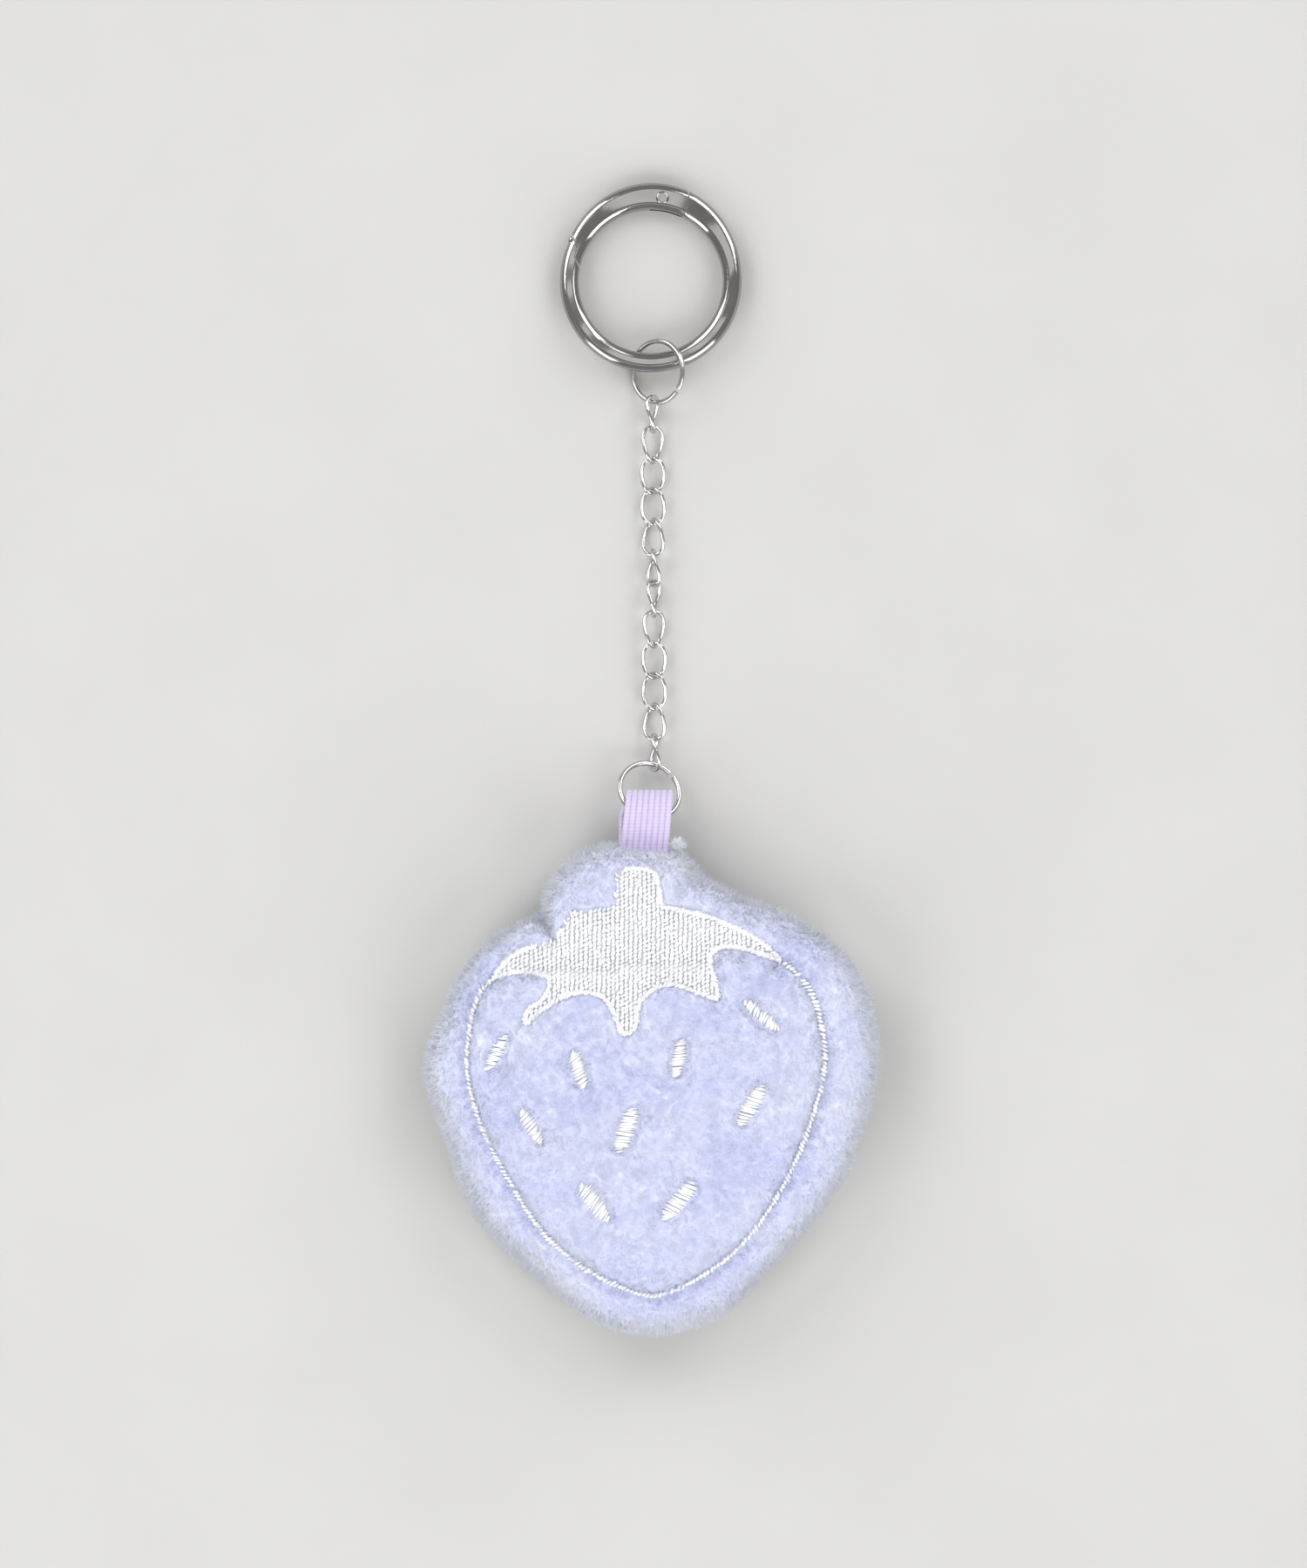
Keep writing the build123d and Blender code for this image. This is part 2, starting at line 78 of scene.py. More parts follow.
SEEDS = (
    (-22.5, -43.0, 5.9, 2.2, 27), (-10.5, -45.5, 5.9, 2.5, -18), (4.1, -43.7, 5.7, 2.5, 9),
    (16.0, -37.5, 6.6, 2.3, -50), (14.7, -50.6, 7.0, 2.8, 30), (-17.5, -53.7, 6.0, 2.3, -31),
    (-3.6, -54.2, 7.0, 3.0, 19), (-8.2, -64.8, 6.9, 3.0, -39), (4.1, -64.5, 7.3, 3.0, 39),
)


# ---------------------------------------------------------------- curves and distances
def curve_through(points, step, closed=False):
    """A Catmull-Rom curve through the points, resampled evenly."""
    p = np.array(points, float)
    count = len(p)
    spans = count if closed else count - 1
    out = []
    for i in range(spans):
        if closed:
            a, b, c, d = (p[(i + k) % count] for k in (-1, 0, 1, 2))
        else:
            a, b, c, d = (p[min(max(i + k, 0), count - 1)] for k in (-1, 0, 1, 2))
        for t in np.linspace(0, 1, 16, endpoint=False):
            slope = (c - a) * t
            bend = (2 * a - 5 * b + 4 * c - d) * t**2
            twist = (3 * b - a - 3 * c + d) * t**3
            out.append(0.5 * (2 * b + slope + bend + twist))
    out.append(p[0] if closed else p[-1])
    return even_points(np.array(out), step, closed)


def even_points(line, step, closed=False):
    lengths = np.linalg.norm(np.diff(line, axis=0), axis=1)
    run = np.concatenate([[0], np.cumsum(lengths)])
    count = max(2, int(round(run[-1] / step)) + 1)
    at = np.linspace(0, run[-1], count)
    even = np.stack([np.interp(at, run, line[:, k]) for k in range(line.shape[1])], axis=1)
    return even[:-1] if closed else even


def distance_to(points, line, closed=False):
    """Distance from each point to a polyline."""
    a = line
    b = np.roll(line, -1, axis=0)
    if not closed:
        a, b = line[:-1], line[1:]
    best = np.full(len(points), 1e9)
    for start in range(0, len(points), 4000):
        part = points[start:start + 4000, None, :]
        run = (b - a)[None]
        t = ((part - a[None]) * run).sum(-1) / ((run**2).sum(-1) + 1e-12)
        t = np.clip(t, 0, 1)[..., None]
        gap = np.linalg.norm(part - (a[None] + t * run), axis=-1)
        best[start:start + 4000] = gap.min(1)
    return best


def inside(points, polygon):
    x, y = points[:, 0], points[:, 1]
    odd = np.zeros(len(points), bool)
    for (x0, y0), (x1, y1) in zip(polygon, np.roll(polygon, -1, axis=0)):
        crosses = (y0 > y) != (y1 > y)
        at = (x1 - x0) * (y - y0) / (y1 - y0 + 1e-12) + x0
        odd ^= crosses & (x < at)
    return odd


def smooth(low, high, value):
    t = np.clip((value - low) / (high - low), 0, 1)
    return t * t * (3 - 2 * t)


def rough(points, size, seed=0.0):
    """Smooth noise from -1 to 1, with features of that size in millimetres."""
    return np.array([
        noise.noise((p[0] / size + seed, p[1] / size - seed, p[2] / size + 3 * seed)) for p in points
    ])


edge = curve_through(BERRY_EDGE, 1.0, closed=True)
outline = curve_through(OUTLINE, 0.4)
leaf = curve_through(LEAF, 0.35, closed=True)


def leaf_depth(xy):
    """How far a point is inside the leaf; negative outside."""
    gap = distance_to(xy, leaf, closed=True)
    return np.where(inside(xy, leaf), gap, -gap)


def seed_depth(xy):
    """How far a point is inside the nearest seed; negative outside."""
    best = np.full(len(xy), -99.0)
    for x, y, length, width, lean in SEEDS:
        a = math.radians(lean)
        across = (xy[:, 0] - x) * math.cos(a) - (xy[:, 1] - y) * math.sin(a)
        up = (xy[:, 0] - x) * math.sin(a) + (xy[:, 1] - y) * math.cos(a)
        core = np.clip(up, -(length - width) / 2, (length - width) / 2)
        best = np.maximum(best, width / 2 - np.hypot(across, up - core))
    return best


# ---------------------------------------------------------------- mesh helpers
def make_object(name, verts_mm, faces):
    mesh = bpy.data.meshes.new(name)
    verts = [tuple(v) for v in np.asarray(verts_mm) * MM]
    mesh.from_pydata(verts, [], [tuple(int(i) for i in f) for f in faces])
    mesh.validate()
    obj = bpy.data.objects.new(name, mesh)
    bpy.context.scene.collection.objects.link(obj)
    mesh.polygons.foreach_set("use_smooth", [True] * len(mesh.polygons))
    return obj


def points_of(obj):
    co = np.zeros(len(obj.data.vertices) * 3, np.float32)
    obj.data.vertices.foreach_get("co", co)
    return co.reshape(-1, 3).astype(float) / MM


def set_points(obj, points_mm):
    obj.data.vertices.foreach_set("co", (np.asarray(points_mm) * MM).astype(np.float32).ravel())
    obj.data.update()


def normals_of(obj):
    no = np.zeros(len(obj.data.vertices) * 3, np.float32)
    obj.data.vertices.foreach_get("normal", no)
    return no.reshape(-1, 3).astype(float)


def apply_modifiers(obj):
    depsgraph = bpy.context.evaluated_depsgraph_get()
    mesh = bpy.data.meshes.new_from_object(obj.evaluated_get(depsgraph))
    obj.modifiers.clear()
    old = obj.data
    obj.data = mesh
    bpy.data.meshes.remove(old)
    return obj


def tubes(paths, widths, heights, sides=6):
    """Closed flattened tubes along the paths, tapered shut at both ends."""
    verts, faces = [], []
    for path, width, height in zip(paths, widths, heights):
        tangent = np.gradient(path, axis=0)
        tangent /= np.linalg.norm(tangent, axis=1)[:, None] + 1e-12
        side = np.cross(tangent, [0, 0, 1.0])
        side /= np.linalg.norm(side, axis=1)[:, None] + 1e-12
        up = np.cross(side, tangent)
        count = len(path)
        base = len(verts)
        verts.append(path[0])
        for i in range(1, count - 1):
            full = 1.0 if 1 < i < count - 2 else 0.8
            reach = side[i] * width * full
            rise = up[i] * height * full
            for k in range(sides):
                a = 2 * math.pi * k / sides
                verts.append(path[i] + reach * math.cos(a) + rise * math.sin(a))
        verts.append(path[-1])
        last = len(verts) - 1
        for k in range(sides):
            n = (k + 1) % sides
            faces.append((base, base + 1 + n, base + 1 + k))
            faces.append((last, last - sides + k, last - sides + n))
            for i in range(count - 3):
                a = base + 1 + i * sides
                faces.append((a + k, a + n, a + sides + n, a + sides + k))
    return np.array(verts), faces


# ---------------------------------------------------------------- materials
def material(name):
    mat = bpy.data.materials.new(name)
    mat.use_nodes = True
    return mat, mat.node_tree, mat.node_tree.nodes["Principled BSDF"]


def noise_node(tree, scale, detail=3.0, roughness=0.55, stretch=None):
    """Noise in the part's own coordinates; scale counts features in a metre."""
    coords = tree.nodes.new("ShaderNodeTexCoord")
    tex = tree.nodes.new("ShaderNodeTexNoise")
    tex.inputs["Scale"].default_value = scale
    tex.inputs["Detail"].default_value = detail
    tex.inputs["Roughness"].default_value = roughness
    if stretch:
        mapping = tree.nodes.new("ShaderNodeMapping")
        mapping.inputs["Scale"].default_value = stretch
        tree.links.new(coords.outputs["Object"], mapping.inputs["Vector"])
        tree.links.new(mapping.outputs["Vector"], tex.inputs["Vector"])
    else:
        tree.links.new(coords.outputs["Object"], tex.inputs["Vector"])
    return tex.outputs["Fac"]


def ramp(tree, value, stops):
    node = tree.nodes.new("ShaderNodeValToRGB")
    tree.links.new(value, node.inputs["Fac"])
    elements = node.color_ramp.elements
    elements[0].position, elements[0].color = stops[0][0], (*stops[0][1], 1)
    elements[1].position, elements[1].color = stops[-1][0], (*stops[-1][1], 1)
    for position, colour in stops[1:-1]:
        elements.new(position).color = (*colour, 1)
    return node.outputs["Color"]


def multiply(tree, share, a, b):
    """Colour a darkened by colour b, as far as the share says."""
    node = tree.nodes.new("ShaderNodeMix")
    node.data_type = "RGBA"
    node.blend_type = "MULTIPLY"
    node.inputs[0].default_value = share
    tree.links.new(a, node.inputs[6])
    tree.links.new(b, node.inputs[7])
    return node.outputs[2]


def bump(tree, shader, layers):
    """Bumps stacked on the shader, each (height, strength, distance in metres)."""
    normal = None
    for height, strength, distance in layers:
        node = tree.nodes.new("ShaderNodeBump")
        node.inputs["Strength"].default_value = strength
        node.inputs["Distance"].default_value = distance
        tree.links.new(height, node.inputs["Height"])
        if normal:
            tree.links.new(normal, node.inputs["Normal"])
        normal = node.outputs["Normal"]
    tree.links.new(normal, shader.inputs["Normal"])


def plush_material(name, low, mid, high, bumped=True):
    """Plush cloth or its fibres, varying between three shades."""
    mat, tree, shader = material(name)
    nap = noise_node(tree, 110, 4.0, 0.6, (0.6, 1.0, 1.0))
    fine = noise_node(tree, 900, 4.0, 0.6, (0.5, 1.0, 1.0))
    broad = ramp(tree, nap, [(0.32, low), (0.50, mid), (0.68, high)])
    speck = ramp(tree, fine, [(0.30, (0.93, 0.93, 0.96)), (0.60, (1.0, 1.0, 1.0))])
    tree.links.new(multiply(tree, 0.8, broad, speck), shader.inputs["Base Color"])
    shader.inputs["Roughness"].default_value = 0.92
    shader.inputs["Specular IOR Level"].default_value = 0.15
    shader.inputs["Sheen Weight"].default_value = 0.85
    shader.inputs["Sheen Roughness"].default_value = 0.5
    shader.inputs["Sheen Tint"].default_value = (0.80, 0.84, 1.0, 1)
    if bumped:
        bump(tree, shader, [(nap, 0.35, 0.0010), (fine, 0.55, 0.00035)])
    return mat


def thread_material(name, colour, sheen=0.25):
    mat, tree, shader = material(name)
    grain = noise_node(tree, 2600, 2.0, 0.5)
    patch = noise_node(tree, 260, 2.0, 0.5)
    dark = tuple(c * 0.93 for c in colour)
    base = ramp(tree, patch, [(0.35, dark), (0.65, colour)])
    speck = ramp(tree, grain, [(0.3, (0.93, 0.93, 0.95)), (0.7, (1, 1, 1))])
    tree.links.new(multiply(tree, 0.7, base, speck), shader.inputs["Base Color"])
    shader.inputs["Roughness"].default_value = 0.42
    shader.inputs["Sheen Weight"].default_value = sheen
    shader.inputs["Sheen Roughness"].default_value = 0.3
    bump(tree, shader, [(grain, 0.3, 0.00008)])
    return mat


def elastic_material(name):
    mat, tree, shader = material(name)
    coords = tree.nodes.new("ShaderNodeTexCoord")
    wave = tree.nodes.new("ShaderNodeTexWave")
    wave.bands_direction = "Y"
    wave.inputs["Scale"].default_value = 620
    wave.inputs["Distortion"].default_value = 1.4
    wave.inputs["Detail"].default_value = 2.0
    tree.links.new(coords.outputs["Object"], wave.inputs["Vector"])
    fine = noise_node(tree, 1500, 3.0)
    base = ramp(tree, wave.outputs["Fac"], [(0.1, (0.665, 0.585, 0.810)), (0.9, (0.735, 0.660, 0.870))])
    speck = ramp(tree, fine, [(0.3, (0.90, 0.90, 0.93)), (0.7, (1, 1, 1))])
    tree.links.new(multiply(tree, 0.8, base, speck), shader.inputs["Base Color"])
    shader.inputs["Roughness"].default_value = 0.75
    shader.inputs["Sheen Weight"].default_value = 0.3
    bump(tree, shader, [(wave.outputs["Fac"], 0.15, 0.00008), (fine, 0.3, 0.00008)])
    return mat


def nickel_material(name, roughness, scratch, waviness, colour=(0.38, 0.37, 0.36)):
    mat, tree, shader = material(name)
    smear = noise_node(tree, 210, 3.0, 0.55)
    hair = noise_node(tree, 1500, 3.0, 0.7, (1.0, 0.12, 1.0))
    dim = tuple(c * 0.90 for c in colour)
    tree.links.new(ramp(tree, smear, [(0.3, dim), (0.6, colour)]), shader.inputs["Base Color"])
    shader.inputs["Metallic"].default_value = 1.0
    spread = tree.nodes.new("ShaderNodeMapRange")
    spread.inputs["To Min"].default_value = roughness * 0.7
    spread.inputs["To Max"].default_value = roughness * 1.6
    tree.links.new(smear, spread.inputs["Value"])
    tree.links.new(spread.outputs["Result"], shader.inputs["Roughness"])
    wave = noise_node(tree, 120, 0.0, 0.3)
    bump(tree, shader, [(wave, 1.0, waviness), (hair, scratch, 0.00003)])
    return mat


def wool_material(name, colour):
    mat, tree, shader = material(name)
    tuft = noise_node(tree, 420, 5.0, 0.65)
    dark = tuple(c * 0.85 for c in colour)
    tree.links.new(ramp(tree, tuft, [(0.3, dark), (0.7, colour)]), shader.inputs["Base Color"])
    shader.inputs["Roughness"].default_value = 0.95
    shader.inputs["Sheen Weight"].default_value = 0.2
    bump(tree, shader, [(tuft, 0.6, 0.0006)])
    return mat


PLUSH = plush_material("plush_lavender", (0.700, 0.735, 0.980), (0.755, 0.785, 0.992), (0.800, 0.830, 0.995))
PILE = plush_material(
    "plush_pile", (0.720, 0.755, 0.985), (0.775, 0.805, 0.994), (0.825, 0.850, 0.996), bumped=False
)
# Paler pile for the whiter fibres and the elastic's tuft, and also a lit copy of the pile used as a painted
# highlight round the rim.
PILE_PALE_AND_PAINTED_HIGHLIGHT = plush_material(
    "plush_pale_and_painted_highlight", (0.860, 0.885, 0.980), (0.905, 0.925, 0.988), (0.940, 0.950, 0.992), bumped=False
)
# A darker copy of the pile, painted shade for the ticks where shadow falls between pile tufts.
PILE_SHADE = plush_material(
    "plush_painted_shade", (0.400, 0.425, 0.690), (0.480, 0.500, 0.750), (0.560, 0.580, 0.810), bumped=False
)
WHITE = thread_material("thread_white", (0.965, 0.97, 0.985))
LAVENDER = thread_material("thread_lavender", (0.62, 0.64, 0.86), 0.1)
ELASTIC = elastic_material("elastic_lilac")
NICKEL = nickel_material("nickel_polished", 0.085, 0.16, 0.0007)
WIRE = nickel_material("nickel_wire", 0.13, 0.18, 0.0001, (0.62, 0.61, 0.60))
SPRING = nickel_material("spring_steel", 0.22, 0.3, 0.0001, (0.60, 0.60, 0.62))
FILL = wool_material("polyester_filling", (0.90, 0.90, 0.89))


# ---------------------------------------------------------------- plush body
RIM_RINGS = 9
FRONT_RIM = 6.2
FRONT_RISE = 7.6
BACK_RIM = 7.6
BACK_RISE = 7.75


SEAM_SET_BACK = 0.55


def edge_normals():
    ahead = sum(np.roll(edge, -k, axis=0) - np.roll(edge, k, axis=0) for k in range(1, 6))
    ahead /= np.linalg.norm(ahead, axis=1)[:, None]
    return np.stack([-ahead[:, 1], ahead[:, 0]], axis=1)


outward = edge_normals()
if np.mean((edge - edge.mean(0)) * outward) < 0:
    outward = -outward
edge = edge - SEAM_SET_BACK * outward


def low_left_share(x, y):
    """1 towards the berry's lower left, where its back bulges out beyond the seam, falling to 0 elsewhere."""
    angle = np.degrees(np.arctan2(y + 48, x))
    return np.exp(-((np.mod(angle + 128 + 180, 360) - 180) / 42.0) ** 2)


low_left = low_left_share(edge[:, 0], edge[:, 1])
SEAM_INSET = 0.55 + 0.85 * low_left
elastic_notch = np.exp(-((edge[:, 0] + 0.6) / 4.0) ** 4) * (edge[:, 1] > -16)
seam = np.column_stack([edge - outward * SEAM_INSET[:, None], np.full(len(edge), SEAM_Z)])


def panel(front):
    """One panel as points and its faces, from the seam inwards."""
    rim, rise = (FRONT_RIM, FRONT_RISE) if front else (BACK_RIM, BACK_RISE)
    solid = []
    for k in range(RIM_RINGS + 1):
        turn = math.pi / 2 * k / RIM_RINGS
        crease = SEAM_INSET * math.exp(-turn / 0.22)
        if front:
            crease = crease * (1 - low_left) + 1.25 * low_left
            crease = crease + 0.9 * elastic_notch * (1 - math.exp(-turn / 0.12))
        bulge = (0.0 if front else 0.35) * low_left * math.sin(2 * turn)
        inset = rim * (1 - math.cos(turn)) + crease - bulge
        height = rise * math.sin(turn)
        ring = edge - outward * inset[:, None]
        z = SEAM_Z + height if front else SEAM_Z - height
        solid.append(np.column_stack([ring, np.full(len(ring), z)]))
    count = len(edge)
    faces = []
    for k in range(RIM_RINGS):
        for i in range(count):
            n = (i + 1) % count
            faces.append((k * count + i, k * count + n, (k + 1) * count + n, (k + 1) * count + i))
    border = solid[-1][:, :2]
    low, high = border.min(0), border.max(0)
    step = 1.12
    rows = []
    for j, y in enumerate(np.arange(low[1], high[1], step * 0.866)):
        x = np.arange(low[0], high[0], step) + (j % 2) * step / 2
        rows.append(np.column_stack([x, np.full(len(x), y)]))
    grid = np.concatenate(rows)
    grid = grid[inside(grid, border) & (distance_to(grid, border, closed=True) > 0.6)]
    flat = np.concatenate([border, grid])
    top = SEAM_Z + rise if front else SEAM_Z - rise
    solid = np.concatenate(solid + [np.column_stack([grid, np.full(len(grid), top)])])
    result = delaunay_2d_cdt([Vector(p) for p in flat], [], [list(range(count))], 1, 1e-5)
    source = [ids[0] if ids else -1 for ids in result[3]]
    assert -1 not in source, "the panel's border crosses itself"
    faces += [tuple(RIM_RINGS * count + source[i] for i in f) for f in result[2]]
    return solid, faces


def front_height(xy):
    """What the stitching adds to the front's height: a dome, pressed in along each stitched shape."""
    from_line = distance_to(xy, outline)
    within = inside(xy, outline)
    dome = 1.5 * smooth(0.3, 11.0, from_line) * within
    groove = -0.95 * np.exp(-((from_line / 1.6) ** 2))
    press_leaf = -0.60 * smooth(-1.8, 0.6, leaf_depth(xy))
    press_seed = -0.40 * smooth(-1.3, 0.5, seed_depth(xy))
    return dome + groove + press_leaf + press_seed


def plush_shell():
    """Both panels as one closed mesh. Material slot 0 is the front's faces, and 1 the back's."""
    front, front_faces = panel(True)
    back, back_faces = panel(False)
    count = len(edge)
    front[:, 2] += front_height(front[:, :2]) * smooth(SEAM_Z + 3.5, SEAM_Z + 7.0, front[:, 2])
    back_map = np.arange(len(back)) + len(front) - count
    back_map[:count] = np.arange(count)
    verts = np.concatenate([front, back[count:]])
    faces = list(front_faces) + [tuple(int(back_map[i]) for i in f) for f in back_faces]
    obj = make_object("plush_shell", verts, faces)
    obj.data.materials.append(PLUSH)
    obj.data.materials.append(PLUSH)
    obj.data.polygons.foreach_set("material_index", [0] * len(front_faces) + [1] * len(back_faces))
    bm = bmesh.new()
    bm.from_mesh(obj.data)
    bmesh.ops.recalc_face_normals(bm, faces=bm.faces)
    if bm.calc_volume(signed=True) < 0:
        bmesh.ops.reverse_faces(bm, faces=bm.faces)
    bm.to_mesh(obj.data)
    bm.free()
    return obj, count, len(front)


def stuff(obj, seam_count, front_count):
    """Blows the sewn shell up, held at every stitch, by a cloth simulation at 20 times its size."""
    start = points_of(obj)
    scale = 20.0
    frames = 20
    most = 0.55
    work = obj.copy()
    work.data = obj.data.copy()
    bpy.context.scene.collection.objects.link(work)
    set_points(work, start * scale)
    is_front = np.arange(len(start)) < front_count
    xy = start[:, :2]
    held = np.zeros(len(start))
    held[:seam_count] = 1.0
    from_line = distance_to(xy, outline)
    stitched = smooth(1.3, 0.5, from_line) + smooth(-0.6, 0.4, leaf_depth(xy))
    stitched += smooth(-0.5, 0.3, seed_depth(xy))
    held = np.maximum(held, np.clip(stitched, 0, 1) * is_front)
    rests = (~is_front) & (start[:, 2] < 0.5) & (distance_to(xy, edge, closed=True) > 9)
    held[rests] = 1.0
    group = work.vertex_groups.new(name="stitched")
    for i in np.nonzero(held > 0.02)[0]:
        group.add([int(i)], float(held[i]), "REPLACE")
    cloth = work.modifiers.new("cloth", "CLOTH")
    s = cloth.settings
    s.quality = 6
    s.mass = 0.3
    s.tension_stiffness = 14
    s.compression_stiffness = 14
    s.shear_stiffness = 5
    s.bending_stiffness = 1.2
    s.use_pressure = True
    s.uniform_pressure_force = 4.0
    s.shrink_min = -0.02
    s.vertex_group_mass = "stitched"
    s.effector_weights.gravity = 0
    cloth.collision_settings.use_collision = False
    cloth.collision_settings.use_self_collision = False
    scene = bpy.context.scene
    cloth.point_cache.frame_start = 1
    cloth.point_cache.frame_end = frames
    for f in range(1, frames + 1):
        scene.frame_set(f)
        bpy.context.view_layer.update()
    depsgraph = bpy.context.evaluated_depsgraph_get()
    moved = points_of(work.evaluated_get(depsgraph)) / scale
    bpy.data.objects.remove(work)
    scene.frame_set(1)
    step = moved - start
    size = np.linalg.norm(step, axis=1)
    step *= (np.tanh(size / most) * most / (size + 1e-9))[:, None]
    set_points(obj, start + step)


shell, seam_count, front_count = plush_shell()
stuff(shell, seam_count, front_count)

# The shell before its stitched detail also gives the filling its shape.
inner = shell.copy()
inner.data = shell.data.copy()
inner.name = "stuffing_fill"
bpy.context.scene.collection.objects.link(inner)
fill_points = points_of(inner) - normals_of(inner) * 2.1
fill_points += normals_of(inner) * (0.3 * rough(fill_points, 5.0, 4.0))[:, None]
set_points(inner, fill_points)
inner.data.materials.clear()
inner.data.materials.append(FILL)

subdivide = shell.modifiers.new("subdivide", "SUBSURF")
subdivide.levels = 1
subdivide.render_levels = 1
apply_modifiers(shell)


def detail(obj):
    """Seam crease, puckers along the stitching, the nap's waves and the small tufts of the pile."""
    lowest = 0.12
    p = points_of(obj)
    n = normals_of(obj)
    xy = p[:, :2]
    from_seam = distance_to(p, seam, closed=True)
    from_line = distance_to(xy, outline)
    depth = leaf_depth(xy)
    seeds = seed_depth(xy)
    front = (p[:, 2] > SEAM_Z + 2)
    move = -0.55 * np.exp(-((from_seam / 0.55) ** 2))
    pucker = rough(p, 2.1, 1.0)
    move += 0.30 * pucker * np.exp(-((from_line - 1.5) / 1.3) ** 2) * front
    move += 0.35 * pucker * np.exp(-((from_seam - 1.6) / 1.4) ** 2)
    move += 0.26 * rough(p, 6.5, 2.0) * smooth(0.8, 4.0, from_seam)
    stitched = [smooth(0.9, 0.3, from_line), smooth(-0.3, 0.3, depth), smooth(-0.3, 0.3, seeds)]
    bare = np.maximum.reduce(stitched) * front
    tuft = 0.10 * rough(p * [1.0, 0.7, 1.0], 0.9, 3.0) + 0.07 * rough(p * [1.0, 0.6, 1.0], 0.45, 5.0)
    move += tuft * (1 - 0.8 * bare)
    # A sharp cut in the pile round each stitched shape.
    move -= 0.22 * np.exp(-((from_line / 0.8) ** 2)) * front
    move -= 0.20 * smooth(-0.6, 0.2, depth) * front
    move -= 0.22 * smooth(-0.5, 0.2, seeds) * front
    # The fold where the shoulder tucks in beside the stalk.
    fold = distance_to(xy, np.array([(-17.2, -22.2), (-15.4, -24.4), (-14.2, -26.6)]))
    move -= 1.0 * np.exp(-((fold / 0.8) ** 2)) * front
    p = p + n * move[:, None]
    under = p[:, 2] < lowest
    p[under, 2] = lowest + 0.02 * np.abs(rough(p[under], 3.0))
    set_points(obj, p)


detail(shell)


def half(obj, keep, name):
    """One panel of the shell, cut off at the seam."""
    part = obj.copy()
    part.data = obj.data.copy()
    part.name = name
    part.data.name = name
    bpy.context.scene.collection.objects.link(part)
    bm = bmesh.new()
    bm.from_mesh(part.data)
    bmesh.ops.delete(bm, geom=[f for f in bm.faces if f.material_index != keep], context="FACES")
    bm.to_mesh(part.data)
    bm.free()
    return part


front_skin = half(shell, 0, "front_plush")
back_skin = half(shell, 1, "back_plush")


def surface_of(obj):
    """Triangles of a mesh: corners, normals and areas in millimetres."""
    obj.data.calc_loop_triangles()
    tri = np.zeros(len(obj.data.loop_triangles) * 3, np.int32)
    obj.data.loop_triangles.foreach_get("vertices", tri)
    p = points_of(obj)
    corners = p[tri.reshape(-1, 3)]
    cross = np.cross(corners[:, 1] - corners[:, 0], corners[:, 2] - corners[:, 0])
    area = np.linalg.norm(cross, axis=1)
    return corners, cross / (area[:, None] + 1e-12), area / 2


front_tree = BVHTree.FromObject(front_skin, bpy.context.evaluated_depsgraph_get())


def bare_cloth(obj):
    """The backing cloth shows white between the stitches, where no pile stands."""
    obj.data.materials.append(WHITE)
    middle = np.array([p.center[:2] for p in obj.data.polygons]) / MM
    high = np.array([p.center[2] for p in obj.data.polygons]) / MM > SEAM_Z + 3
    white = high & (leaf_depth(middle) > 0.1)
    index = np.zeros(len(middle), np.int32)
    index[white] = len(obj.data.materials) - 1
    obj.data.polygons.foreach_set("material_index", index)


def height_at(xy):
    """The front's height under each point."""
    z = np.zeros(len(xy))
    for i, (x, y) in enumerate(xy):
        hit = front_tree.ray_cast(Vector((x * MM, y * MM, 0.06)), Vector((0, 0, -1)))[0]
        z[i] = hit.z / MM if hit else SEAM_Z
    return z


# ---------------------------------------------------------------- embroidery
def stitches(name, segments, width, height, lift, mat, node, sink=0.12):
    """One thread stroke for each (start, end), lying on the cloth and diving into it at both ends."""
    paths, widths, heights = [], [], []
    share = np.array([0.0, 0.1, 0.3, 0.5, 0.7, 0.9, 1.0])
    arch = np.array([-1.0, 0.1, 0.85, 1.0, 0.85, 0.1, -1.0])
    starts = np.array([s for s, _ in segments])
    ends = np.array([e for _, e in segments])
    xy = starts[:, None] + (ends - starts)[:, None] * share[None, :, None]
    z = height_at(xy.reshape(-1, 2)).reshape(len(segments), -1)
    for i in range(len(segments)):
        jitter = 1 + 0.12 * rng.standard_normal()
        up = np.where(arch < 0, -sink, lift * arch) * jitter
        level = np.minimum(z[i], np.interp(share, share[[0, 3, 6]], z[i][[0, 3, 6]]) + 0.2)
        paths.append(np.column_stack([xy[i], level + up]))
        widths.append(width * jitter)
        heights.append(height)
    verts, faces = tubes(paths, widths, heights)
    obj = make_object(name, verts, faces)
    obj.data.materials.append(mat)
    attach(obj, "berry")
    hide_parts(node)


def jog(scale):
    return rng.standard_normal(2) * scale


def outline_segments():
    """Short slanted stitches along the line, crosswise and wider at the upper right."""
    line = even_points(outline, 0.60)
    ahead = np.gradient(line, axis=0)
    ahead /= np.linalg.norm(ahead, axis=1)[:, None]
    side = np.stack([-ahead[:, 1], ahead[:, 0]], axis=1)
    segments = []
    for p, t, s in zip(line, ahead, side):
        upper_right = math.exp(-((p[0] - 22) / 6) ** 2 - ((p[1] + 36) / 9) ** 2)
        if rng.random() < 0.03:
            continue
        half_width = 0.36 + 0.20 * upper_right + 0.12 * rng.standard_normal()
        reach = s * half_width + t * (0.33 - 0.08 * upper_right)
        segments.append((p - reach + jog(0.06), p + reach + jog(0.06)))
    return segments


